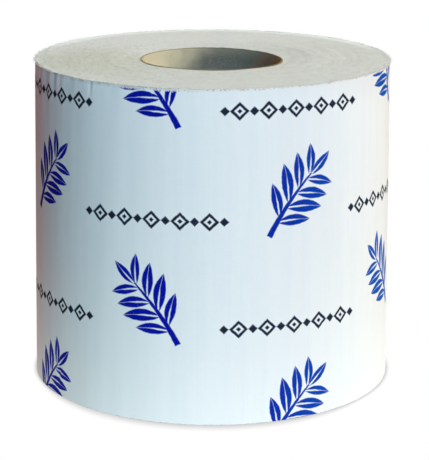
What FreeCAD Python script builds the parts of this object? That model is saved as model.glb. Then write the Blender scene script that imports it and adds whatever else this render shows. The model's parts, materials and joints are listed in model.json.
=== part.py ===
import FreeCAD, Part
import math
import os

# A roll of toilet paper that stands on its end, in millimetres.
# The origin is the middle of the lower end, and +Z runs up along the roll's axis.

# Driving dimensions
roll_height = 90.0  # width of the wound paper and of the wrapper
roll_diameter = 100.0  # across the wrapper, away from its lap
core_bore = 40.0  # hole through the cardboard tube
core_wall = 0.45  # two thin plies of board
wrapper_thickness = 0.1  # one sheet
lap_width = 14.0  # how far the wrapper's outer end runs over its inner end
lap_rise = 1.5  # run in which the outer end climbs onto the inner one
lap_azimuth = 62.0  # degrees from +X towards +Y to the middle of the lap
turn_pitch = 3.9  # aimed distance from one ridge of turns to the next
groove_width = 1.6  # across the mouth of the spiral groove between two ridges
groove_depth = 0.2
flat_band = 0.8  # level band left beside the tube and beside the wrapper

# Derived sizes
bore_radius = core_bore / 2
core_radius = bore_radius + core_wall
wrapper_radius = roll_diameter / 2
paper_radius = wrapper_radius - wrapper_thickness


def ring(inner, outer, height):
    """A straight tube that stands on the origin."""
    return Part.makeCylinder(outer, height).cut(Part.makeCylinder(inner, height))


def polar(radius, degrees):
    """A point in the XY plane."""
    angle = math.radians(degrees)
    return FreeCAD.Vector(radius * math.cos(angle), radius * math.sin(angle), 0)


def arc(radius, start, end):
    """An edge about the origin, counter-clockwise from one azimuth to another."""
    middle = (start + end) / 2
    return Part.Arc(polar(radius, start), polar(radius, middle), polar(radius, end)).toShape()


def line(start, end):
    return Part.LineSegment(start, end).toShape()


def make_core_tube():
    """The spiral-wound cardboard tube, sawn off level with the paper."""
    return ring(bore_radius, core_radius, roll_height)


def groove_section(axis_x, radius, face_z, inward):
    """The V of the groove in the XZ plane; it opens past the end face to cut it cleanly."""
    x = axis_x + radius
    mouth = face_z - inward * groove_depth
    corners = [FreeCAD.Vector(x - groove_width, 0, mouth),
               FreeCAD.Vector(x + groove_width, 0, mouth),
               FreeCAD.Vector(x, 0, face_z + inward * groove_depth)]
    return Part.Face(Part.makePolygon(corners + corners[:1]))


def spiral_groove(face_z, inward):
    """One groove that winds from the tube out to the wrapper.

    Each turn is two half rings. The halves behind and in front of the XZ plane have their own
    axes, half a pitch apart, so that they meet end to end and the radius grows by one pitch a turn.
    """
    first = core_radius + flat_band + groove_width / 2
    last = paper_radius - flat_band - groove_width / 2
    turns = max(1, round((last - first) / turn_pitch))
    pitch = (last - first) / turns
    pieces = []
    for turn in range(turns):
        radius = first + pitch / 4 + turn * pitch
        for axis_x, half_radius, sweep in ((-pitch / 4, radius, 180), (pitch / 4, radius + pitch / 2, -180)):
            section = groove_section(axis_x, half_radius, face_z, inward)
            pieces.append(section.revolve(FreeCAD.Vector(axis_x, 0, 0), FreeCAD.Vector(0, 0, 1), sweep))
    return pieces


def make_paper_roll():
    """The wound paper as one solid, with its turns showing as a spiral on both end faces."""
    roll = ring(core_radius, paper_radius, roll_height)
    return roll.cut(spiral_groove(0, 1) + spiral_groove(roll_height, -1))


def make_wrapper():
    """One sheet round the roll; its outer end climbs onto its inner end and is glued there."""
    degrees_per_mm = 180 / (math.pi * wrapper_radius)
    lap_end = lap_azimuth + lap_width / 2 * degrees_per_mm
    lap_start = lap_azimuth - lap_width / 2 * degrees_per_mm
    rise_start = lap_start - lap_rise * degrees_per_mm
    lap_radius = wrapper_radius + wrapper_thickness
    outline = Part.Wire([
        arc(wrapper_radius, lap_end, rise_start + 360),
        line(polar(wrapper_radius, rise_start), polar(lap_radius, lap_start)),
        arc(lap_radius, lap_start, lap_end),
        line(polar(lap_radius, lap_end), polar(wrapper_radius, lap_end)),
    ])
    inside = Part.Wire(Part.makeCircle(paper_radius))
    sheet = Part.Face(outline).cut(Part.Face(inside))
    return sheet.extrude(FreeCAD.Vector(0, 0, roll_height))


def save(name, shape):
    """Writes one node, which is one closed solid."""
    solid = shape.Solids[0]
    print(name, "solids", len(shape.Solids), "valid", solid.isValid(), "volume", round(solid.Volume, 1))
    solid.exportStep("parts/" + name + ".step")


os.makedirs("parts", exist_ok=True)
save("core_tube", make_core_tube())
save("paper_roll", make_paper_roll())
save("wrapper", make_wrapper())
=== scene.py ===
# A roll of toilet paper in a printed wrapper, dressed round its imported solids.
import json
import math
import random
import bpy
import bmesh
from mathutils import Matrix, Vector, noise


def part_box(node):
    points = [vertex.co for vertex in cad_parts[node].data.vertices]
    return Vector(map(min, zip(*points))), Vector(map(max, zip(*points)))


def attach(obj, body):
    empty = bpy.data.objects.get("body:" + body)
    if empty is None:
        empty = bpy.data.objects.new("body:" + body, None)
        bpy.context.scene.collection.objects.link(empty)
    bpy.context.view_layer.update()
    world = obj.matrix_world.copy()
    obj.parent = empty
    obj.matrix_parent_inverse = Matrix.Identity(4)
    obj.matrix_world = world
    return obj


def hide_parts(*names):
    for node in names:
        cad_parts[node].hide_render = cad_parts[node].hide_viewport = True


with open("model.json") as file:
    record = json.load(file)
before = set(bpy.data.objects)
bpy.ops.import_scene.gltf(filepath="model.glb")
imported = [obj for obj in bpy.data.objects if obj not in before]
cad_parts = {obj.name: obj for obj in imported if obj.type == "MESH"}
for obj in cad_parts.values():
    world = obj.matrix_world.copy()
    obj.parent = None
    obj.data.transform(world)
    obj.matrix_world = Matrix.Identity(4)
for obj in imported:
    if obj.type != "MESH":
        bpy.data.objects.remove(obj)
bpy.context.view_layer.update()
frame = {"record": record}
print("frame loaded")

mm = 0.001
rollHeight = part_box("paper_roll")[1].z
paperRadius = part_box("paper_roll")[1].x
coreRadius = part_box("core_tube")[1].x
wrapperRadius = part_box("wrapper")[1].x
boreRadius = [m for m in frame["record"]["mounts"] if m["name"] == "spindle_bore"][0]["dims"]["r_mm"] * mm


# Small helpers for meshes

def ease(low, high, value):  # 0 below low, 1 above high, smooth between
    t = min(1.0, max(0.0, (value - low) / (high - low)))
    return t * t * (3 - 2 * t)


def bell(value, middle, width):  # 1 at the middle, fading to both sides
    return math.exp(-((value - middle) / width) ** 2)


def ripple(x, y=0.0, seed=0.0):  # smooth noise between about -1 and 1
    return noise.noise(Vector((x, y, seed * 17.31)))


def turnedFrom(angle, middle):  # signed degrees from the middle azimuth
    return (angle - middle + 180) % 360 - 180


def crowdEnds(share):  # spaces rows more closely towards 0 and 1
    return 0.5 - 0.5 * math.cos(math.pi * share)


def spinRing(inner, outer, rings, rows, steps, sectors=20):  # a closed tube, cut fine for its relief
    bm = bmesh.new()
    places = ((inner, 0), (outer, 0), (outer, rollHeight), (inner, rollHeight))
    corners = [bm.verts.new((r, 0, z)) for r, z in places]
    sides = [bm.edges.new((corners[i], corners[(i + 1) % 4])) for i in range(4)]
    bmesh.ops.subdivide_edges(bm, edges=[sides[0], sides[2]], cuts=rings - 1)
    bmesh.ops.subdivide_edges(bm, edges=[sides[1], sides[3]], cuts=rows - 1)
    for vert in bm.verts:
        vert.co.z = crowdEnds(vert.co.z / rollHeight) * rollHeight
    # one sector is spun and copied round, which is much quicker than one full spin
    bmesh.ops.spin(bm, geom=bm.verts[:] + bm.edges[:], cent=(0, 0, 0), axis=(0, 0, 1), dvec=(0, 0, 0),
                   angle=math.tau / sectors, steps=steps // sectors, use_merge=False, use_duplicate=False)
    sector = bm.verts[:] + bm.edges[:] + bm.faces[:]
    for i in range(1, sectors):
        copied = bmesh.ops.duplicate(bm, geom=sector)["geom"]
        bmesh.ops.rotate(bm, verts=[v for v in copied if isinstance(v, bmesh.types.BMVert)], cent=(0, 0, 0),
                         matrix=Matrix.Rotation(i * math.tau / sectors, 3, "Z"))
    bmesh.ops.remove_doubles(bm, verts=bm.verts[:], dist=0.001 * mm)
    bmesh.ops.recalc_face_normals(bm, faces=bm.faces[:])
    return bm


def toMesh(bm, name):
    mesh = bpy.data.meshes.new(name)
    bm.to_mesh(mesh)
    bm.free()
    return mesh


def addObject(name, data):
    thing = bpy.data.objects.new(name, data)
    bpy.context.scene.collection.objects.link(thing)
    return thing


def finishPiece(bm, name, node, materials):
    sharpFrom = 55  # degrees between two faces
    mesh = toMesh(bm, name)
    for material in materials:
        mesh.materials.append(material)
    mesh.shade_smooth()
    mesh.set_sharp_from_angle(angle=math.radians(sharpFrom))
    piece = addObject(name, mesh)
    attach(piece, "root")
    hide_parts(node)
    print(name, "made,", len(mesh.polygons), "faces")
    return piece


# Small helpers for shader nodes

number, vector = "NodeSocketFloat", "NodeSocketVector"


def fill(tree, sockets, inputs):  # links a socket, or sets a plain value
    for key, value in inputs.items():
        if isinstance(value, bpy.types.NodeSocket):
            tree.links.new(value, sockets[key])
        else:
            sockets[key].default_value = value


def addNode(tree, kind, inputs=None, **settings):
    node = tree.nodes.new(kind)
    for name, value in settings.items():
        setattr(node, name, value)
    fill(tree, node.inputs, inputs or {})
    return node


def numbered(*values):  # inputs by their place, without the missing ones
    return {i: v for i, v in enumerate(values) if v is not None}


def calc(tree, operation, a, b=None, c=None):
    return addNode(tree, "ShaderNodeMath", numbered(a, b, c), operation=operation).outputs[0]


def shift(tree, operation, a, b=None):  # the same for vectors
    return addNode(tree, "ShaderNodeVectorMath", numbered(a, b), operation=operation).outputs["Vector"]


def howFar(tree, operation, a, b=None):  # and for a length or a distance
    return addNode(tree, "ShaderNodeVectorMath", numbered(a, b), operation=operation).outputs["Value"]


def spinFlat(tree, place, angle):  # turns a place about Z
    given = {"Vector": place, "Angle": angle}
    return addNode(tree, "ShaderNodeVectorRotate", given, rotation_type="Z_AXIS").outputs[0]


def wrapAround(tree, value, period):  # value brought to -period/2..period/2, and how many periods that took
    turns = calc(tree, "ROUND", calc(tree, "DIVIDE", value, period))
    return calc(tree, "SUBTRACT", value, calc(tree, "MULTIPLY", turns, period)), turns


def span(tree, value, low, high, start=0.0, end=1.0):  # eases value from low..high to start..end
    given = {"Value": value, "From Min": low, "From Max": high, "To Min": start, "To Max": end}
    return addNode(tree, "ShaderNodeMapRange", given, interpolation_type="SMOOTHSTEP").outputs[0]


def blend(tree, factor, first, second):
    node = addNode(tree, "ShaderNodeMix", data_type="RGBA")
    fill(tree, node.inputs, {0: factor, 6: first, 7: second})
    return node.outputs[2]


def cloud(tree, place, scale, detail=2.0, rough=0.5):  # noise value about 0..1
    given = {"Vector": place, "Scale": scale, "Detail": detail, "Roughness": rough}
    return addNode(tree, "ShaderNodeTexNoise", given).outputs["Fac"]


def stretched(tree, place, x, y, z):
    return addNode(tree, "ShaderNodeMapping", {"Vector": place, "Scale": (x, y, z)}).outputs[0]


def split(tree, place):
    return addNode(tree, "ShaderNodeSeparateXYZ", {"Vector": place}).outputs


def join(tree, x, y, z=0.0):
    return addNode(tree, "ShaderNodeCombineXYZ", {"X": x, "Y": y, "Z": z}).outputs[0]


def inMillimetres(tree):  # Object coordinates times 1000
    return stretched(tree, addNode(tree, "ShaderNodeTexCoord").outputs["Object"], 1000, 1000, 1000)


def makeGroup(name, inputs, outputs):
    tree = bpy.data.node_groups.new(name, "ShaderNodeTree")
    for label, kind in inputs:
        tree.interface.new_socket(label, in_out="INPUT", socket_type=kind)
    for label, kind in outputs:
        tree.interface.new_socket(label, in_out="OUTPUT", socket_type=kind)
    return tree, tree.nodes.new("NodeGroupInput").outputs, tree.nodes.new("NodeGroupOutput").inputs


def useGroup(tree, group, inputs):
    return addNode(tree, "ShaderNodeGroup", inputs, node_tree=group).outputs


def newMaterial(name, settings):
    material = bpy.data.materials.new(name)
    material.use_nodes = True
    tree = material.node_tree
    surface = tree.nodes["Principled BSDF"]
    fill(tree, surface.inputs, settings)
    return material, tree, surface.inputs


def putBump(tree, surface, height, distance):
    bump = addNode(tree, "ShaderNodeBump", {"Height": height, "Distance": distance, "Strength": 1.0})
    tree.links.new(bump.outputs[0], surface["Normal"])


# Paper grain that every piece shares: slow mottling, fine specks and short fibres

def makeGrainGroup():
    tree, start, end = makeGroup("paperGrain", [("Position", vector)],
                                 [("Mottle", number), ("Speck", number), ("Fibre", number)])
    place = start["Position"]  # in millimetres
    tree.links.new(cloud(tree, place, 0.22, 3.0, 0.6), end["Mottle"])
    tree.links.new(cloud(tree, place, 3.2, 2.0, 0.7), end["Speck"])
    most = 0.0
    for turn, away in ((0.5, 0.0), (2.1, 40.0), (1.2, 80.0)):
        leaning = addNode(tree, "ShaderNodeMapping",
                          {"Vector": place, "Location": (away, 0, 0), "Rotation": (turn, turn * 0.6, turn),
                           "Scale": (0.55, 4.5, 4.5)}).outputs[0]
        strand = span(tree, cloud(tree, leaning, 1.0, 1.0, 0.4), 0.62, 0.74)
        most = calc(tree, "MAXIMUM", most, strand)
    tree.links.new(most, end["Fibre"])
    return tree


paperGrain = makeGrainGroup()


# Ends of the tube: the upper one lies lower than the paper, and both are pressed inwards

endLook = {
    "sunk": 0.52 * mm,  # how far the upper end lies below the paper, on average
    "sunkBack": 0.27 * mm,  # how much more at its lowest
    "lowestAt": 67.0,  # azimuth in degrees
    "sunkSides": 0.13 * mm,  # how much more at the left and the right, and less between them
    "sunkLength": 12 * mm,  # of the tube that moves down with its end
    "slope": 9.0,  # mm of paper that slopes down to the tube
    "closeIn": 0.50 * mm,  # how far both ends are pressed in, on average
    "closeInRight": 0.25 * mm,  # how much more at the right, and less at the left
    "closeInLength": 5.0,  # mm from each end
    "paperFollows": 4 * mm,  # width of the turns that move in with the tube
}


def sunkAt(angle):
    look = endLook
    uneven = look["sunkBack"] * math.cos(angle - math.radians(look["lowestAt"]))
    return look["sunk"] + uneven + look["sunkSides"] * math.cos(2 * angle)


def upperEnd(tree, azimuth):  # the same for shaders, as the height of the tube's upper end in mm
    look = endLook
    once = calc(tree, "COSINE", calc(tree, "SUBTRACT", azimuth, math.radians(look["lowestAt"])))
    twice = calc(tree, "COSINE", calc(tree, "MULTIPLY", azimuth, 2.0))
    level = calc(tree, "MULTIPLY_ADD", once, -look["sunkBack"] / mm, (rollHeight - look["sunk"]) / mm)
    return calc(tree, "MULTIPLY_ADD", twice, -look["sunkSides"] / mm, level)


def closedIn(angle, height):
    look = endLook
    fromEnd = min(height, rollHeight - height) / mm
    most = look["closeIn"] + look["closeInRight"] * math.cos(angle)
    return most * ease(look["closeInLength"], 0.0, fromEnd)


# Wound paper: one solid whose turns show on both cut ends

paperLook = {
    "groups": 7,  # broad ridges, at the radii of the solid's spiral
    "turnsInGroup": 2,
    "levelBand": 1.6 * mm,  # from the tube or the wrapper to the first groove's middle
    "groupDepth": 0.08 * mm,
    "turnDepth": 0.03 * mm,
    "unevenness": 0.04 * mm,
    "rimFuzz": 0.20 * mm,  # loose paper at the outer edge
    "fuzzWidth": 2.6,  # mm
    "tubeDip": 0.22 * mm,  # how far the paper falls back from the tube's end
    "dipWidth": 2.2,  # mm
    "roughness": 0.03 * mm,
    "underWrapper": 0.10 * mm,
    "outerTurns": 3 * mm,  # width of the turns that follow the wrapper
    "flareShare": 0.6,  # of the wrapper's flare, that these turns take
    "rings": 70,
    "rows": 16,
    "steps": 500,
    "looseFibres": (300, 1100),  # on the lower and the upper end, along the rim
    "fibreSpread": 0.75 * mm,
    "fibreLift": (0.02 * mm, 0.15 * mm),  # above the upper end
    "fibreFloor": 0.13 * mm,  # above the floor, at the lower end
    "fibreLength": (0.35 * mm, 1.1 * mm),
    "fibreRadii": (0.07 * mm, 0.03 * mm),  # at its two ends
    "bump": 0.20 * mm,
    "tone": (0.65, 0.602, 0.55, 1),
    "light": (0.74, 0.70, 0.65, 1),
    "dark": (0.53, 0.50, 0.43, 1),
    # painted shade: a darker, yellower tone round one place at the left
    "shadedYellow": (0.575, 0.54, 0.44, 1),
    "shadedYellowAt": (-34.0, -9.0, 0.0),  # mm, the middle of the patch of painted shade
    # painted light: the paper's tone towards the back, paler where more light falls
    "litBackTone": (0.72, 0.672, 0.64, 1),
    "stain": (0.42, 0.385, 0.29, 1),
    "rimTone": (0.76, 0.72, 0.66, 1),
    "speckTone": (0.30, 0.21, 0.17, 1),
    "litFarRim": (0.93, 0.91, 0.87, 1),  # painted highlight: paler along the outer turns at the back, where the light catches the rim
}


def turnHeight(radius, angle, end):
    look = paperLook
    first = coreRadius + look["levelBand"]
    pitch = (paperRadius - look["levelBand"] - first) / look["groups"]
    part = angle / math.tau
    broad = (radius - first) / pitch - part
    fine = (radius - first) / pitch * look["turnsInGroup"] - part
    ridge = 0.5 + 0.5 * math.cos(math.tau * broad)
    height = -look["groupDepth"] * ridge * (0.6 + 0.4 * ripple(math.floor(broad) + part, 0, end))
    height -= look["turnDepth"] * abs(2 * (fine % 1) - 1) ** 3
    height += look["unevenness"] * (ripple((math.floor(fine) + part) * 1.7, 3.0, end) - 0.6)
    return height


def shapePaperEnd(vert, end):  # end is 1 at the top, 0 at the floor
    look = paperLook
    x, y, z = vert.co
    radius, angle = math.hypot(x, y), math.atan2(y, x) % math.tau
    rise = turnHeight(radius, angle, end)
    fromRim, fromTube = (paperRadius - radius) / mm, (radius - coreRadius) / mm
    fuzz = 0.35 + ripple(angle * 120, fromRim * 1.5, end)
    rise += look["rimFuzz"] * ease(look["fuzzWidth"], 0.2, fromRim) * fuzz
    dip = 0.25 + 0.75 * ease(-0.3, 0.4, ripple(math.cos(angle) * 1.4, math.sin(angle) * 1.4, 5 + end))
    rise -= look["tubeDip"] * ease(look["dipWidth"], 0.0, fromTube) * dip
    rise -= end * sunkAt(angle) * ease(endLook["slope"], 0.0, fromTube)
    rise += look["roughness"] * ripple(x / mm * 1.1, y / mm * 1.1, end)
    vert.co.z = z + rise if end else max(0.0, z - rise)  # nothing below the floor


def pressOut(vert):  # the outermost turns lie against the wrapper, apart from where it flares
    look = paperLook
    radius = math.hypot(vert.co.x, vert.co.y)
    share = ease(paperRadius - look["outerTurns"], paperRadius - 0.5 * mm, radius)
    if share > 0:
        azimuth = math.degrees(math.atan2(vert.co.y, vert.co.x)) % 360
        grow = (radius + share * sheetOffset(azimuth, vert.co.z, look["flareShare"])) / radius
        vert.co.x, vert.co.y = vert.co.x * grow, vert.co.y * grow


def pressIn(vert):  # the innermost turns follow the tube
    radius, angle = math.hypot(vert.co.x, vert.co.y), math.atan2(vert.co.y, vert.co.x)
    share = ease(coreRadius + endLook["paperFollows"], coreRadius, radius)
    grow = 1 - share * closedIn(angle, vert.co.z) / radius
    vert.co.x, vert.co.y = vert.co.x * grow, vert.co.y * grow


def addLooseFibres(bm):  # slivers that the saw left along the rim
    look = paperLook
    dice = random.Random(41)
    tufts = bmesh.new()
    for end, count in enumerate(look["looseFibres"]):
        for i in range(count):
            angle = (i + dice.random()) / count * math.tau
            radius = paperRadius - abs(dice.gauss(0, look["fibreSpread"]))
            lift = dice.uniform(*look["fibreLift"])
            height = rollHeight + lift if end else look["fibreFloor"]
            place = Vector((radius * math.cos(angle), radius * math.sin(angle), height))
            tilt = Matrix.Rotation(math.pi / 2 + dice.uniform(-0.35, 0.35) * end, 4, "Y")
            turn = Matrix.Rotation(angle + dice.uniform(-1.4, 1.4), 4, "Z")
            length = dice.uniform(*look["fibreLength"])
            thick, thin = look["fibreRadii"]
            bmesh.ops.create_cone(tufts, cap_ends=True, segments=3, radius1=thick, radius2=thin, depth=length,
                                  matrix=Matrix.Translation(place) @ turn @ tilt)
    mesh = toMesh(tufts, "tufts")
    bm.from_mesh(mesh)
    bpy.data.meshes.remove(mesh)


def makePaperRoll():
    look = paperLook
    bm = spinRing(coreRadius, paperRadius - look["underWrapper"], look["rings"], look["rows"], look["steps"])
    for vert in bm.verts:
        pressOut(vert)
        pressIn(vert)
        if vert.co.z > rollHeight - mm:
            shapePaperEnd(vert, 1)
        elif vert.co.z < mm:
            shapePaperEnd(vert, 0)
    addLooseFibres(bm)
    return finishPiece(bm, "wound_paper", "paper_roll", [makeTissueMaterial()])


def makeTissueMaterial():
    look = paperLook
    material, tree, surface = newMaterial("tissue_cut_edge", {"Roughness": 0.95, "Specular IOR Level": 0.1})
    place = inMillimetres(tree)
    grain = useGroup(tree, paperGrain, {"Position": place})
    parts = split(tree, place)
    flat = join(tree, parts["X"], parts["Y"])
    radius = howFar(tree, "LENGTH", flat)
    outwards = split(tree, shift(tree, "NORMALIZE", flat))
    # along a turn the pattern is slow, across the turns it is quick
    rings = join(tree, calc(tree, "MULTIPLY", outwards["X"], 2.6), calc(tree, "MULTIPLY", outwards["Y"], 2.6),
                 calc(tree, "MULTIPLY", radius, 1.9))
    lines = cloud(tree, rings, 1.0, 3.0, 0.65)
    thin = cloud(tree, stretched(tree, rings, 3.5, 3.5, 3.3), 1.0, 2.0, 0.6)
    tone = blend(tree, span(tree, lines, 0.32, 0.70), look["dark"], look["light"])
    tone = blend(tree, 0.82, tone, look["tone"])
    # painted light: the paper is painted paler towards the back, where more light falls on it
    back = calc(tree, "MULTIPLY_ADD", parts["X"], -0.4, parts["Y"])
    tone = blend(tree, span(tree, back, 5.0, 35.0, 0.0, 0.7), tone, look["litBackTone"])
    # painted shade: it is darker and yellower round one place at the left, where the light falls off, and
    # more stained there
    aside = howFar(tree, "DISTANCE", flat, look["shadedYellowAt"])
    aside = calc(tree, "MULTIPLY_ADD", cloud(tree, place, 0.04, 2.0, 0.6), 20.0, aside)
    tone = blend(tree, span(tree, aside, 18.0, 40.0, 0.85, 0.0), tone, look["shadedYellow"])
    stains = cloud(tree, stretched(tree, place, 0.75, 0.30, 0.5), 1.0, 3.0, 0.7)
    stains = calc(tree, "MULTIPLY", span(tree, stains, 0.44, 0.68), span(tree, aside, 18.0, 60.0, 0.50, 0.16))
    tone = blend(tree, stains, tone, look["stain"])
    tone = blend(tree, span(tree, grain["Mottle"], 0.35, 0.75, 0.0, 0.35), tone, look["light"])
    tone = blend(tree, span(tree, grain["Speck"], 0.52, 0.76, 0.0, 0.6), tone, look["dark"])
    tone = blend(tree, calc(tree, "MULTIPLY", grain["Fibre"], 0.3), tone, look["light"])
    rim = paperRadius / mm
    ragged = calc(tree, "ADD", radius, cloud(tree, place, 1.1, 2.0, 0.6))
    tone = blend(tree, span(tree, ragged, rim - 1.3, rim - 0.1, 0.0, 0.8), tone, look["rimTone"])
    specks = calc(tree, "MULTIPLY", span(tree, cloud(tree, place, 1.9, 1.0, 0.5), 0.61, 0.69),
                  span(tree, radius, rim - 1.4, rim - 0.3, 0.0, 0.8))
    tone = blend(tree, specks, tone, look["speckTone"])
    # painted highlight: paler along the rim at the back
    litFarRim = span(tree, parts["Y"], 5.0, 30.0, 0.0, 0.75)
    litFarRim = calc(tree, "MULTIPLY", span(tree, ragged, rim - 4.4, rim), litFarRim)
    tone = blend(tree, litFarRim, tone, look["litFarRim"])
    tree.links.new(tone, surface["Base Color"])
    height = calc(tree, "MULTIPLY_ADD", thin, 0.7, calc(tree, "MULTIPLY", grain["Speck"], 1.1))
    height = calc(tree, "MULTIPLY_ADD", lines, 0.2, height)
    putBump(tree, surface, height, look["bump"])
    return material


# Cardboard tube: thin board wound in a spiral, sawn off with the paper

coreLook = {
    "lead": 66 * mm,  # rise of the board's joint in one turn round the tube
    "jointTurn": 0.72,  # turns by which the joint is set round, from +X at the floor
    "jointDepth": 0.10 * mm,
    "jointWidth": 0.7 * mm,
    "endRoughness": 0.09 * mm,
    "unevenness": 0.02 * mm,
    "gap": 0.02 * mm,  # to the paper
    "rows": 150,
    "steps": 220,
    # the next four tones are painted light and shade in the bore: the first where the light falls, the other
    # three where it lies in shade; the grey also tints the mottle
    "litCream": (0.62, 0.56, 0.395, 1),
    "shadeAndMottleGrey": (0.113, 0.124, 0.113, 1),
    "shadedBrown": (0.222, 0.140, 0.098, 1),
    "ochre": (0.34, 0.22, 0.07, 1),
    "fibre": (0.45, 0.41, 0.32, 1),
    "toneLean": 2.5,  # degrees that the border of the painted light and shade turns for each mm down the tube
    "bump": 0.05 * mm,
    "edge": (0.17, 0.105, 0.05, 1),
    "paleEdge": (0.32, 0.235, 0.115, 1),
}


def makeCoreTube():
    look = coreLook
    bm = spinRing(boreRadius, coreRadius - look["gap"], 3, look["rows"], look["steps"])
    middle = (boreRadius + coreRadius) / 2
    for vert in bm.verts:
        x, y, z = vert.co
        radius, part = math.hypot(x, y), math.atan2(y, x) % math.tau / math.tau
        grow = 1 - closedIn(part * math.tau, z) / radius
        upper, lower = ease(rollHeight - mm, rollHeight, z), ease(mm, 0.0, z)
        vert.co.z += look["endRoughness"] * ripple(x / mm, y / mm, 1) * upper
        vert.co.z += look["endRoughness"] * max(0.0, 0.7 + ripple(x / mm, y / mm, 2)) * lower
        if radius < middle and upper == lower == 0:
            across = ((z / look["lead"] - part - look["jointTurn"] + 0.5) % 1 - 0.5) * look["lead"]
            sink = look["jointDepth"] * bell(across, 0, look["jointWidth"])
            wave = look["unevenness"] * ripple(part * 9, z / mm / 14, 3)
            grow += (sink + wave) / radius
        vert.co.x, vert.co.y = x * grow, y * grow
        vert.co.z -= sunkAt(part * math.tau) * ease(rollHeight - endLook["sunkLength"], rollHeight, z)
    return finishPiece(bm, "cardboard_tube", "core_tube", [makeBoardMaterial()])


def makeBoardMaterial():
    look = coreLook
    material, tree, surface = newMaterial("core_board", {"Specular IOR Level": 0.12})
    place = inMillimetres(tree)
    grain = useGroup(tree, paperGrain, {"Position": place})
    parts = split(tree, place)
    azimuth = calc(tree, "ARCTAN2", parts["Y"], parts["X"])
    part = calc(tree, "DIVIDE", azimuth, math.tau)
    wound = calc(tree, "SUBTRACT", calc(tree, "DIVIDE", parts["Z"], look["lead"] / mm), part)
    phase = calc(tree, "FRACT", calc(tree, "SUBTRACT", wound, look["jointTurn"]))
    fromJoint = calc(tree, "MINIMUM", phase, calc(tree, "SUBTRACT", 1.0, phase))
    joint = span(tree, fromJoint, 0.004, 0.013, 1.0, 0.0)
    # painted light and shade: the bore is painted light on the left, where the lamps fall on it, and darker
    # grey behind and ochre and brownish at the right, where it lies in shade, with soft uneven borders
    lean = calc(tree, "MULTIPLY_ADD", parts["Z"], look["toneLean"], -look["toneLean"] * rollHeight / mm)
    lean = calc(tree, "MULTIPLY_ADD", cloud(tree, place, 0.14, 2.0, 0.6), 26.0, lean)
    # degrees are counted from azimuth -60, at the front right
    degrees = calc(tree, "MULTIPLY", calc(tree, "FRACT", calc(tree, "ADD", part, 60 / 360)), 360.0)
    placeRound = calc(tree, "ADD", degrees, lean)
    litSide = span(tree, placeRound, 154, 196)
    litSide = calc(tree, "MULTIPLY", litSide, span(tree, degrees, 262, 300, 1.0, 0.0))
    shadedBrown = span(tree, placeRound, 106, 122, 1.0, 0.0)
    shadedBrown = calc(tree, "MAXIMUM", shadedBrown, span(tree, degrees, 300, 340))
    tone = blend(tree, shadedBrown, look["shadeAndMottleGrey"], look["shadedBrown"])
    tone = blend(tree, span(tree, placeRound, 78, 104, 1.0, 0.0), tone, look["ochre"])
    tone = blend(tree, litSide, tone, look["litCream"])
    fromTop = calc(tree, "SUBTRACT", upperEnd(tree, azimuth), parts["Z"])
    tone = blend(tree, span(tree, fromTop, 0.0, 4.0, 0.25, 0.0), tone, look["fibre"])
    tone = blend(tree, span(tree, grain["Mottle"], 0.45, 0.8, 0.0, 0.2), tone, look["shadeAndMottleGrey"])
    tone = blend(tree, span(tree, grain["Speck"], 0.62, 0.8, 0.0, 0.3), tone, look["edge"])
    tone = blend(tree, calc(tree, "MULTIPLY", grain["Fibre"], 0.2), tone, look["fibre"])
    tone = blend(tree, calc(tree, "MULTIPLY", joint, 0.4), tone, look["edge"])
    cut = span(tree, calc(tree, "MINIMUM", fromTop, parts["Z"]), 0.05, 0.3, 1.0, 0.0)
    edgeTone = blend(tree, span(tree, parts["X"], -14.0, 2.0), look["paleEdge"], look["edge"])
    tone = blend(tree, calc(tree, "MULTIPLY", cut, 0.85), tone, edgeTone)
    tree.links.new(tone, surface["Base Color"])
    tree.links.new(span(tree, grain["Mottle"], 0.3, 0.7, 0.7, 0.9), surface["Roughness"])
    putBump(tree, surface, calc(tree, "MULTIPLY_ADD", grain["Fibre"], 0.6, grain["Speck"]), look["bump"])
    return material


# Printed wrapper: one sheet, laid out flat, printed, then rolled round the paper and lapped at the back

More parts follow.
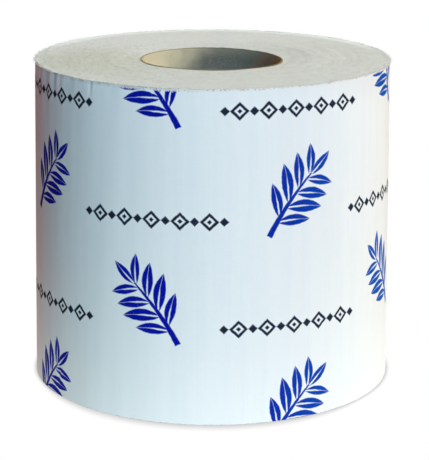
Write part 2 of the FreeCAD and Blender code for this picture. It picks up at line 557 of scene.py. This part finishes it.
wrapperLook = {
    "thickness": 0.10 * mm,
    "lap": 14 * mm,
    "lapStep": 1.25,  # how far the lap stands off the sheet below, in thicknesses
    "climb": 1.5 * mm,  # of the sheet, over which it gets there
    "lapMiddle": 62.0,  # degrees from +X
    "columns": 660,
    "rows": 58,
    "endLift": 0.10 * mm,  # how far the pasted outer end stands up
    "endLiftLength": 2.5 * mm,
    # broad and fine waves up the sheet: depth, how close they lie, mm over which they change
    "flutes": ((0.07 * mm, 7, 70.0), (0.035 * mm, 19, 45.0)),
    "drawnIn": 0.42 * mm,  # the roll is a little narrower at the top
    "spread": 0.65 * mm,  # and a little wider at the foot
    # at the left the top leans in, and its last part bends over
    "leftMiddle": 212.0,
    "leftWidth": 34.0,
    "tucked": 0.15 * mm,
    "tuckedLength": 14.0,  # mm
    "rolledEdge": 0.25 * mm,
    "rolledLength": 3.0,
    # at the right it flares
    "flare": 0.50 * mm,
    "flareMiddle": 338.0,
    "flareWidths": (22.0, 10.0),  # degrees before and after its middle
    "flareLength": 8.0,
    # the edge is ragged, more at the left, and stands a little above the paper at the back
    "raggedEdge": 0.22 * mm,
    "raggedShares": (0.6, 1.4),  # everywhere, and what the left adds
    "raggedMiddle": 225.0,
    "raggedWidth": 45.0,
    "backEdge": 0.12 * mm,
    "backMiddle": 75.0,
    "backWidth": 75.0,
    "edgeBand": 0.7 * mm,  # of the sheet that moves with its edge
    # one short soft crease at the front left
    "creaseDepth": 0.22 * mm,
    "creaseMiddle": 214.0,
    "creaseHeight": 6.0,  # mm above the floor
    "creaseLength": 3.2,
    "creaseLean": 0.25,
    "mapShare": 0.93,  # of the UV square's height, for the printed side
    "mapGap": 0.01,
    "white": (0.83, 0.855, 0.87, 1),
    # painted shade along the stripes
    "shade": (0.80, 0.83, 0.855, 1),
    "frayed": (0.81, 0.79, 0.765, 1),
    "frayedDark": (0.42, 0.33, 0.30, 1),
    "cloudy": (0.87, 0.88, 0.875, 1),
    "fibre": (0.70, 0.71, 0.71, 1),
    "fleck": (0.18, 0.24, 0.42, 1),
    "blue": (0.0006, 0.0070, 0.33, 1),
    "litBlue": (0.004, 0.085, 0.44, 1),  # painted light: the blue is lighter where the light from the right falls on the thin ink
    "litFrom": 0.0,  # mm right of the axis
    "litTo": 52.0,
    "slate": (0.014, 0.020, 0.045, 1),
    "bump": 0.035 * mm,
    "back": (0.80, 0.79, 0.74, 1),  # the unprinted side
    "backLight": (0.88, 0.87, 0.83, 1),
    "backFibre": (0.60, 0.55, 0.46, 1),
    "backSpeck": (0.26, 0.19, 0.17, 1),
    "backBump": 0.04 * mm,
}

# short dents below the top edge: azimuth, then width, length and depth in mm
puckers = (
    (194, 1.5, 10, 0.13), (199.5, 1.0, 15, 0.16), (205, 1.6, 19, 0.19), (211, 1.2, 9, 0.22),
    (215, 0.8, 14, 0.13), (221, 1.4, 11, 0.08), (230, 0.5, 6, 0.22), (238, 2.0, 7, 0.07),
    (247, 1.6, 9, 0.06), (283, 1.6, 6, 0.05), (35, 1.4, 8, 0.12), (97, 1.7, 11, 0.14),
    (128, 1.2, 7, 0.12), (152, 1.6, 13, 0.14), (171, 1.3, 8, 0.12),
)


def sheetOffset(angle, height, flared=1.0):  # how far the sheet stands off its true radius, in metres
    look = wrapperLook
    fromTop, fromFloor = (rollHeight - height) / mm, height / mm
    around = math.radians(wrapperRadius) / mm  # mm of sheet per degree
    x, y = math.cos(math.radians(angle)), math.sin(math.radians(angle))
    offset = look["spread"] - (look["spread"] + look["drawnIn"]) * height / rollHeight
    for seed, (depth, close, length) in enumerate(look["flutes"], 1):
        offset += depth * ripple(x * close, y * close + fromFloor / length, seed)
    leaning = look["tucked"] * max(0.0, 1 - fromTop / look["tuckedLength"]) ** 2
    leaning += look["rolledEdge"] * max(0.0, 1 - fromTop / look["rolledLength"]) ** 2
    offset -= leaning * bell(turnedFrom(angle, look["leftMiddle"]), 0, look["leftWidth"])
    for middle, width, length, depth in puckers:
        side = turnedFrom(angle, middle) * around
        if abs(side) < 4 * width:
            fade = ease(length, 0.0, fromTop)
            offset -= depth * mm * fade * (bell(side, 0, width) - 0.5 * bell(side, width * 1.7, width))
    away = turnedFrom(angle, look["flareMiddle"])
    width = look["flareWidths"][0 if away < 0 else 1]
    offset += flared * look["flare"] * bell(away, 0, width) * ease(look["flareLength"], 0.0, fromTop) ** 2
    up = fromFloor - look["creaseHeight"]
    side = turnedFrom(angle, look["creaseMiddle"]) * around - look["creaseLean"] * up
    crease = look["creaseDepth"] * bell(up, 0, look["creaseLength"])
    return offset - crease * (bell(side, 0, 0.7) - 0.5 * bell(side, 1.5, 1.0))


def lapRise(along, length):  # the outer end lies on the inner end
    look = wrapperLook
    start = length - look["lap"]
    rise = look["lapStep"] * look["thickness"] * ease(start - look["climb"], start, along)
    return rise + look["endLift"] * ease(length - look["endLiftLength"], length, along)


def edgeHeight(height, azimuth, along):  # where the sawn edges bring a place on the sheet
    look = wrapperLook
    ragged = look["raggedEdge"] * (ripple(along / mm * 0.9, 0, 11) + 0.6 * ripple(along / mm * 2.3, 0, 12))
    band = look["edgeBand"]
    if height > rollHeight - band:
        high = look["backEdge"] * bell(turnedFrom(azimuth, look["backMiddle"]), 0, look["backWidth"])
        share, added = look["raggedShares"]
        share += added * bell(turnedFrom(azimuth, look["raggedMiddle"]), 0, look["raggedWidth"])
        return height + (ragged * share + high) * ease(rollHeight - band, rollHeight, height)
    if height < band:
        return height + abs(ragged) * 0.6 * ease(band, 0.0, height)
    return height


def outward(face):  # whether it looks away from the roll's axis
    centre = face.calc_center_median()
    return face.normal.dot(Vector((centre.x, centre.y, 0)).normalized()) > 0.5


def makeWrapper():
    look = wrapperLook
    length = math.tau * wrapperRadius + look["lap"]
    firstAngle = look["lapMiddle"] - math.degrees(look["lap"] / 2 / wrapperRadius)
    bm = bmesh.new()
    bmesh.ops.create_grid(bm, x_segments=look["columns"], y_segments=look["rows"], size=0.5)
    layer = bm.loops.layers.uv.new("label")
    for vert in bm.verts:  # rows close up towards the two cut edges
        vert.co.x, vert.co.y = vert.co.x + 0.5, crowdEnds(vert.co.y + 0.5)
    for face in bm.faces:
        for loop in face.loops:
            loop[layer].uv = (loop.vert.co.x, loop.vert.co.y * look["mapShare"])
    for vert in bm.verts:
        along, height = vert.co.x * length, vert.co.y * rollHeight
        azimuth = firstAngle + math.degrees(along / wrapperRadius)
        radius = wrapperRadius - look["thickness"] / 2 + lapRise(along, length) + sheetOffset(azimuth, height)
        turn = math.radians(azimuth)
        vert.co = (radius * math.cos(turn), radius * math.sin(turn), edgeHeight(height, azimuth, along))
    bmesh.ops.recalc_face_normals(bm, faces=bm.faces[:])
    if not outward(next(iter(bm.faces))):
        bmesh.ops.reverse_faces(bm, faces=bm.faces[:])
    bmesh.ops.solidify(bm, geom=bm.faces[:], thickness=look["thickness"])
    # the plain side has its own strip of the map
    gap = look["mapGap"]
    strip = (1 - 2 * gap) / look["mapShare"] - 1
    for face in bm.faces:
        if not outward(face):
            face.material_index = 1
            for loop in face.loops:
                x, y = loop[layer].uv
                loop[layer].uv = (x, look["mapShare"] + gap + y * strip)
    materials = [makePrintMaterial(length), makePlainSheetMaterial()]
    return finishPiece(bm, "printed_wrapper", "wrapper", materials)


# Print: blue leaf sprigs and chains of slate lozenges, in rows that are shifted by half a repeat

printLook = {
    "repeat": 77.0,  # mm along a row
    "startAt": 20.0,
    "row": 29.0,  # mm between rows
    "firstRow": 4.0,
    "chainDrop": 6.7,  # mm by which the chains lie below their row
    "leafPairs": 4,
    "leafSpacing": 4.5,
    "leafLength": 11.2,
    "leafSizes": (0.86, 0.97, 0.88, 0.76),  # from the foot upwards
    "leafWidth": 3.5,
    "leafBow": 0.15,
    "leafAngles": {1: 58.0, -1: 45.0},  # degrees off the stem, on its right and left
    "firstLeaf": 4.2,  # mm up the stem
    "leftLeafLater": 1.3,
    "tipSize": 0.74,
    "tipDrop": 0.5,
    "stemStart": -1.4,  # mm left of the sprig's middle
    "stemFoot": -13.3,
    "stemTop": 6.4,
    "stemBend": 0.009,
    "stemWidth": 1.4,
    "stemShare": 0.62,  # of that width, as its reach to each side at the foot
    "stemTaper": 0.022,  # of that width, lost in each mm upwards
    "sprigTilt": 27.0,
    "lozenges": 11,
    "lozengePitch": 3.85,
    "lozengeLength": 5.1,
    "lozengeHeight": 4.9,
    "lozengeLine": 0.42,  # width of its outline, as a share of its reach
    "lozengeDot": 0.27,
    "smallLozenge": 0.50,
    "softEdge": 0.16,
    "wobble": 0.30,
}


def makeLeafGroup():  # signed distance in mm to one pointed, bowed leaf with a bare midrib
    tree, start, end = makeGroup("leafShape", [("Position", vector), ("Foot", vector), ("Angle", number),
                                               ("Length", number), ("Width", number), ("Bow", number)],
                                 [("Distance", number)])
    fromFoot = shift(tree, "SUBTRACT", start["Position"], start["Foot"])
    parts = split(tree, spinFlat(tree, fromFoot, calc(tree, "MULTIPLY", start["Angle"], -1.0)))
    along = calc(tree, "DIVIDE", parts["X"], start["Length"])
    hump = calc(tree, "MULTIPLY", along, calc(tree, "SUBTRACT", 1.0, along))
    bowed = calc(tree, "MULTIPLY", hump, calc(tree, "MULTIPLY", start["Bow"], start["Length"]))
    side = calc(tree, "ABSOLUTE", calc(tree, "SUBTRACT", parts["Y"], bowed))
    reach = calc(tree, "MULTIPLY", hump, calc(tree, "MULTIPLY", start["Width"], 2.0))
    leaf = calc(tree, "SUBTRACT", side, reach)
    rib = calc(tree, "MULTIPLY", span(tree, along, 0.35, 0.75, 1.0, 0.0), 0.20)
    tree.links.new(calc(tree, "MAXIMUM", leaf, calc(tree, "SUBTRACT", rib, side)), end["Distance"])
    return tree


def makeSprigGroup(leafShape):  # a curved stem with leaves on both sides and one at its tip
    look = printLook
    tree, start, end = makeGroup("leafSprig", [("Position", vector)], [("Distance", number)])
    place = start["Position"]
    parts = split(tree, place)
    low, high, bend, startX = (look[k] for k in ("stemFoot", "stemTop", "stemBend", "stemStart"))

    def stemAt(y):  # x and direction of the stem
        return bend * (y - low) ** 2 + startX, math.atan2(1, 2 * bend * (y - low))

    rise = calc(tree, "SUBTRACT", parts["Y"], low)
    middle = calc(tree, "MULTIPLY_ADD", calc(tree, "MULTIPLY", rise, rise), bend, startX)
    width = look["stemWidth"]
    taper = calc(tree, "MULTIPLY_ADD", rise, -look["stemTaper"] * width, look["stemShare"] * width)
    stem = calc(tree, "SUBTRACT", calc(tree, "ABSOLUTE", calc(tree, "SUBTRACT", parts["X"], middle)), taper)
    half = (high - low) / 2
    fromMiddle = calc(tree, "ABSOLUTE", calc(tree, "SUBTRACT", parts["Y"], low + half))
    shape = calc(tree, "MAXIMUM", stem, calc(tree, "SUBTRACT", fromMiddle, half))
    leaves = []
    for i in range(look["leafPairs"]):
        for hand in (1, -1):
            y = low + look["firstLeaf"] + i * look["leafSpacing"] + (look["leftLeafLater"] if hand < 0 else 0)
            x, slope = stemAt(y)
            leaning = slope - hand * math.radians(look["leafAngles"][hand])
            leaves.append((x, y, leaning, look["leafSizes"][i], hand * look["leafBow"]))
    x, slope = stemAt(high)
    leaves.append((x, high - look["tipDrop"], slope, look["tipSize"], -look["leafBow"] / 2))
    for x, y, angle, size, bow in leaves:
        given = {"Position": place, "Foot": (x, y, 0), "Angle": angle, "Length": look["leafLength"] * size,
                 "Width": look["leafWidth"] * size, "Bow": bow}
        shape = calc(tree, "MINIMUM", shape, useGroup(tree, leafShape, given)["Distance"])
    tree.links.new(shape, end["Distance"])
    return tree


def makeLozengeGroup():  # a level chain of open lozenges with small solid ones between
    look = printLook
    tree, start, end = makeGroup("lozengeChain", [("Position", vector)], [("Distance", number)])
    parts = split(tree, start["Position"])
    pitch = look["lozengePitch"]
    toMm = look["lozengeHeight"] / 2 * 0.7  # across a lozenge's slanting side
    upward = calc(tree, "DIVIDE", calc(tree, "ABSOLUTE", parts["Y"]), look["lozengeHeight"] / 2)

    def reachFrom(shiftX):  # 0 at a lozenge's middle, 1 on its outline
        x = wrapAround(tree, calc(tree, "ADD", parts["X"], shiftX), 2 * pitch)[0]
        sideways = calc(tree, "DIVIDE", calc(tree, "ABSOLUTE", x), look["lozengeLength"] / 2)
        return calc(tree, "ADD", sideways, upward)

    big, small = reachFrom(0.0), reachFrom(pitch)
    inside = calc(tree, "SUBTRACT", 1 - look["lozengeLine"], big)
    ring = calc(tree, "MAXIMUM", calc(tree, "SUBTRACT", big, 1.0), inside)
    solid = calc(tree, "MINIMUM", calc(tree, "SUBTRACT", big, look["lozengeDot"]),
                 calc(tree, "SUBTRACT", small, look["smallLozenge"]))
    shape = calc(tree, "MULTIPLY", calc(tree, "MINIMUM", ring, solid), toMm)
    reach = (look["lozenges"] - 1) / 2 * pitch + look["smallLozenge"] * look["lozengeLength"] / 2
    outside = calc(tree, "SUBTRACT", calc(tree, "ABSOLUTE", parts["X"]), reach)
    tree.links.new(calc(tree, "MAXIMUM", shape, outside), end["Distance"])
    return tree


def makePrintMasks(tree, flat):  # blue and slate ink over the flat sheet
    look = printLook
    # the block's edge wanders a little, as soft paper takes ink
    given = {"Vector": flat, "Scale": 0.9, "Detail": 2.0}
    shake = addNode(tree, "ShaderNodeTexNoise", given).outputs["Color"]
    shake = shift(tree, "SUBTRACT", shake, (0.5, 0.5, 0.5))
    shake = shift(tree, "MULTIPLY", shake, (look["wobble"],) * 3)
    parts = split(tree, shift(tree, "ADD", flat, shake))

    def inRow(firstRow, startAt):  # place from the nearest motif's middle, and 1 in each second row
        y, rowCount = wrapAround(tree, calc(tree, "SUBTRACT", parts["Y"], firstRow), look["row"])
        odd = calc(tree, "ABSOLUTE", calc(tree, "MODULO", rowCount, 2.0))
        shifted = calc(tree, "MULTIPLY_ADD", odd, look["repeat"] / 2, calc(tree, "ADD", parts["X"], startAt))
        return wrapAround(tree, shifted, look["repeat"])[0], y, odd

    x, y, odd = inRow(look["firstRow"], look["startAt"])
    mirrored = calc(tree, "MULTIPLY", x, calc(tree, "SUBTRACT", 1.0, calc(tree, "MULTIPLY", odd, 2.0)))
    turned = spinFlat(tree, join(tree, mirrored, y), math.radians(look["sprigTilt"]))
    sprig = useGroup(tree, makeSprigGroup(makeLeafGroup()), {"Position": turned})["Distance"]
    x, y, odd = inRow(look["firstRow"] - look["chainDrop"], look["startAt"] + look["repeat"] / 2)
    chain = useGroup(tree, makeLozengeGroup(), {"Position": join(tree, x, y)})["Distance"]
    soft = look["softEdge"]
    return span(tree, sprig, -soft, soft, 1.0, 0.0), span(tree, chain, -soft, soft, 1.0, 0.0)


def makePrintMaterial(length):
    look = wrapperLook
    material, tree, surface = newMaterial("wrapper_print", {"Specular IOR Level": 0.12})
    label = addNode(tree, "ShaderNodeUVMap", uv_map="label").outputs[0]
    flat = stretched(tree, label, length / mm, rollHeight / mm / look["mapShare"], 1)  # the sheet in mm
    place = inMillimetres(tree)
    across = split(tree, place)["X"]
    grain = useGroup(tree, paperGrain, {"Position": place})
    blue, slate = makePrintMasks(tree, flat)
    missed = span(tree, grain["Speck"], 0.64, 0.8, 1.0, 0.70)  # tiny pinholes in the ink
    blue = calc(tree, "MULTIPLY", blue, missed)
    slate = calc(tree, "MULTIPLY", slate, missed)
    # faint stripes run up the sheet where it bridges the turns beneath, as a bump and as painted shade in the
    # paper's colour
    stripes = cloud(tree, stretched(tree, flat, 0.35, 0.012, 1), 1.0, 3.0, 0.6)
    paper = blend(tree, span(tree, stripes, 0.3, 0.7), look["shade"], look["white"])
    paper = blend(tree, span(tree, grain["Mottle"], 0.3, 0.8, 0.0, 0.25), paper, look["cloudy"])
    paper = blend(tree, calc(tree, "MULTIPLY", grain["Fibre"], 0.10), paper, look["fibre"])
    stray = addNode(tree, "ShaderNodeTexVoronoi", {"Vector": flat, "Scale": 0.028}).outputs["Distance"]
    paper = blend(tree, span(tree, stray, 0.006, 0.013, 0.5, 0.0), paper, look["fleck"])
    # painted light: the blue ink is painted lighter towards the right
    lit = span(tree, across, look["litFrom"], look["litTo"])
    tone = blend(tree, blue, paper, blend(tree, lit, look["blue"], look["litBlue"]))
    tone = blend(tree, slate, tone, look["slate"])
    # the sawn edge is frayed to bare fibre, more at the left
    fromTop = calc(tree, "SUBTRACT", rollHeight / mm, split(tree, flat)["Y"])
    reach = span(tree, across, -10.0, 20.0, 1.4, 0.45)
    fray = calc(tree, "SUBTRACT", fromTop, calc(tree, "MULTIPLY", cloud(tree, flat, 1.3, 3.0, 0.7), reach))
    torn = span(tree, cloud(tree, flat, 1.9, 1.0, 0.5), 0.58, 0.68)
    torn = blend(tree, torn, look["frayed"], look["frayedDark"])
    tone = blend(tree, span(tree, fray, -0.15, 0.25, 0.85, 0.0), tone, torn)
    tree.links.new(tone, surface["Base Color"])
    inkHere = calc(tree, "MAXIMUM", blue, slate)
    rough = span(tree, grain["Mottle"], 0.3, 0.7, 0.6, 0.7)
    tree.links.new(calc(tree, "MULTIPLY_ADD", inkHere, -0.06, rough), surface["Roughness"])
    tree.links.new(calc(tree, "MULTIPLY_ADD", inkHere, -0.09, 0.12), surface["Specular IOR Level"])
    relief = calc(tree, "MULTIPLY_ADD", grain["Fibre"], 0.35, calc(tree, "MULTIPLY", grain["Speck"], 0.5))
    putBump(tree, surface, calc(tree, "MULTIPLY_ADD", stripes, 1.6, relief), look["bump"])
    return material


def makePlainSheetMaterial():  # the sheet's back and its cut edges
    look = wrapperLook
    material, tree, surface = newMaterial("wrapper_back", {"Roughness": 0.8, "Specular IOR Level": 0.15})
    place = inMillimetres(tree)
    grain = useGroup(tree, paperGrain, {"Position": place})
    tone = blend(tree, span(tree, grain["Mottle"], 0.3, 0.75), look["back"], look["backLight"])
    tone = blend(tree, calc(tree, "MULTIPLY", grain["Fibre"], 0.3), tone, look["backFibre"])
    specks = span(tree, cloud(tree, place, 1.9, 1.0, 0.5), 0.64, 0.72, 0.0, 0.6)
    tone = blend(tree, specks, tone, look["backSpeck"])
    tree.links.new(tone, surface["Base Color"])
    putBump(tree, surface, grain["Speck"], look["backBump"])
    return material


# Floor, light and camera

stageLook = {
    "floorSize": 6.0,
    "glow": 0.735,  # what the bright floor throws up on the roll
    "glowTone": (0.86, 0.94, 0.86, 1),
    "glowFrom": 60 * mm,  # where it starts to fade
    "glowTo": 160 * mm,
    "shadeBeside": 1.3 * mm,  # over which the floor darkens towards the roll
    "shadeBefore": 5.2 * mm,  # the same in front of it
    "deepestShade": 0.2,
    "ambient": 0.067,
    "ambientTone": (1.0, 0.67, 0.5, 1),
    "lampSize": 0.60,
    "lampDistance": 1.1,
}

# azimuth from the front towards the right, elevation, power and colour
lamps = {
    "front": (1, 40, 6.4, (0.06, 0.71, 1.0)),
    "front_right": (25, 25, 9.8, (1.0, 0.785, 0.715)),
    "back_right": (115, 30, 10.1, (1.0, 0.99, 0.865)),
    "left_rim": (-125, 12, 2.8, (1.0, 0.15, 0.05)),
    "back": (-165, 30, 4.2, (1.0, 0.95, 0.90)),
    "back_fill": (-175, 5, 3.2, (0.10, 0.90, 1.0)),  # evens out the warm rim where it reaches the back
}


def mixByLens(tree, thrown, seen):  # what the lens sees is one shader, what lights the roll another
    lens = addNode(tree, "ShaderNodeLightPath").outputs["Is Camera Ray"]
    return addNode(tree, "ShaderNodeMixShader", {0: lens, 1: thrown, 2: seen}).outputs[0]


def makeFloor():
    look = stageLook
    bm = bmesh.new()
    bmesh.ops.create_grid(bm, x_segments=1, y_segments=1, size=look["floorSize"] / 2)
    floor = addObject("floor", toMesh(bm, "floor"))
    material = newMaterial("pale_floor", {})[0]
    tree = material.node_tree
    tree.nodes.remove(tree.nodes["Principled BSDF"])
    # to the lens the floor is an evenly lit white sweep, and on the roll it throws a glow from close by
    place = addNode(tree, "ShaderNodeTexCoord").outputs["Object"]
    glow = span(tree, howFar(tree, "LENGTH", place), look["glowFrom"], look["glowTo"], look["glow"], 0.0)
    thrown = addNode(tree, "ShaderNodeEmission", {"Color": look["glowTone"], "Strength": glow}).outputs[0]
    # the dark line where the roll stands is wider in front of it
    outwards = split(tree, shift(tree, "NORMALIZE", place))
    toFront = calc(tree, "MULTIPLY_ADD", outwards["X"], 0.12, outwards["Y"])
    width = span(tree, toFront, -1.05, -0.45, look["shadeBefore"], look["shadeBeside"])
    shade = addNode(tree, "ShaderNodeAmbientOcclusion", {"Distance": width}, samples=16).outputs["AO"]
    shade = calc(tree, "MULTIPLY_ADD", shade, 1 - look["deepestShade"], look["deepestShade"])
    seen = addNode(tree, "ShaderNodeEmission", {"Color": (1, 1, 1, 1), "Strength": shade}).outputs[0]
    tree.links.new(mixByLens(tree, thrown, seen), tree.nodes["Material Output"].inputs["Surface"])
    floor.data.materials.append(material)


def makeLamp(name, azimuth, elevation, power, tone):
    lamp = bpy.data.lights.new(name, "AREA")
    lamp.shape, lamp.size, lamp.energy, lamp.color = "DISK", stageLook["lampSize"], power, tone
    holder = addObject(name, lamp)
    a, e = math.radians(azimuth), math.radians(elevation)
    towards = Vector((math.sin(a) * math.cos(e), -math.cos(a) * math.cos(e), math.sin(e)))
    holder.location = Vector((0, 0, rollHeight / 2)) + towards * stageLook["lampDistance"]
    holder.rotation_mode = "QUATERNION"
    holder.rotation_quaternion = towards.to_track_quat("Z", "Y")


def makeLight():
    look = stageLook
    for name, (azimuth, elevation, power, tone) in lamps.items():
        makeLamp(name, azimuth, elevation, power, tone)
    world = bpy.data.worlds.new("studio")
    bpy.context.scene.world = world
    world.use_nodes = True
    tree = world.node_tree
    tree.nodes.clear()
    white = {"Color": (1, 1, 1, 1), "Strength": 1.0}
    ambient = {"Color": look["ambientTone"], "Strength": look["ambient"]}
    seen = addNode(tree, "ShaderNodeBackground", white).outputs[0]
    thrown = addNode(tree, "ShaderNodeBackground", ambient).outputs[0]
    addNode(tree, "ShaderNodeOutputWorld", {"Surface": mixByLens(tree, thrown, seen)})
    bpy.context.scene.view_settings.view_transform = "Standard"


cameraLook = {
    "distance": 10.3552,  # in units of the roll's radius
    "elevation": 14.5432,
    "pan": 0.0806,
    "tilt": 0.8958,
    "roll": 0.2699,
    "focalPixels": 1811.3,  # in the photograph's frame of 429 x 460 pixels
    "frameHeight": 460,
    "shiftPixels": -46,
}


def makeCamera():
    look = cameraLook
    e, pan, tilt, roll = (math.radians(look[k]) for k in ("elevation", "pan", "tilt", "roll"))
    place = Vector((0, -math.cos(e), math.sin(e))) * look["distance"] * wrapperRadius
    ahead = -place.normalized()
    right = ahead.cross(Vector((0, 0, 1))).normalized()
    ahead = (ahead + math.tan(pan) * right + math.tan(tilt) * right.cross(ahead)).normalized()
    right = ahead.cross(Vector((0, 0, 1))).normalized()
    up = right.cross(ahead)
    right, up = math.cos(roll) * right + math.sin(roll) * up, math.cos(roll) * up - math.sin(roll) * right
    data = bpy.data.cameras.new("camera")
    data.sensor_width = 36
    data.lens = look["focalPixels"] / look["frameHeight"] * data.sensor_width
    data.shift_y = look["shiftPixels"] / look["frameHeight"]
    data.clip_start, data.clip_end = 0.01, 20
    camera = addObject("camera", data)
    axes = Matrix((right, up, -ahead)).transposed().to_4x4()
    camera.matrix_world = Matrix.Translation(place + Vector((0, 0, rollHeight / 2))) @ axes
    bpy.context.scene.camera = camera


makeCamera()
makeFloor()
makeLight()
print("stage set")
makePaperRoll()
makeCoreTube()
makeWrapper()
